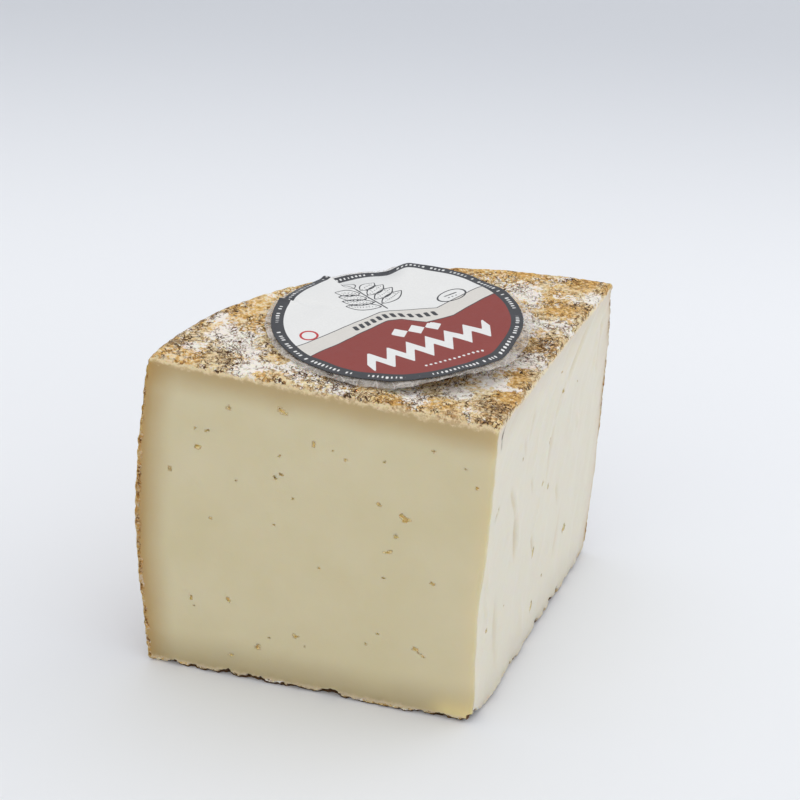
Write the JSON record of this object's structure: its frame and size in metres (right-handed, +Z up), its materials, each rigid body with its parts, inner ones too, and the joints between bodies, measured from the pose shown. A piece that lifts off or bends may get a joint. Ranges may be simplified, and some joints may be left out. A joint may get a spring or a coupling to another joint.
{
  "type": "cut wedge of a cheese wheel",
  "caption": "Thick wedge cut from a pressed goat's cheese wheel, with a mottled rind and a round paper label lying loose on its top.",
  "frame": {"origin": "centre of the bounding box's base, on the surface that the cheese stands on", "axes": "+Z up, along the axis of the wheel that the wedge was cut from; +Y from the wedge's cut point towards its rind; +X across the wedge, to the right for someone who faces the cut point"},
  "size_m": [0.1394, 0.0886, 0.093],
  "materials": {
    "cheese": "satin",
    "label_film": "gloss",
    "label_paper": "satin"
  },
  "bodies": {
    "root": {"cheese": "cheese", "label_film": "label_film", "label": "label_paper"}
  },
  "joints": []
}
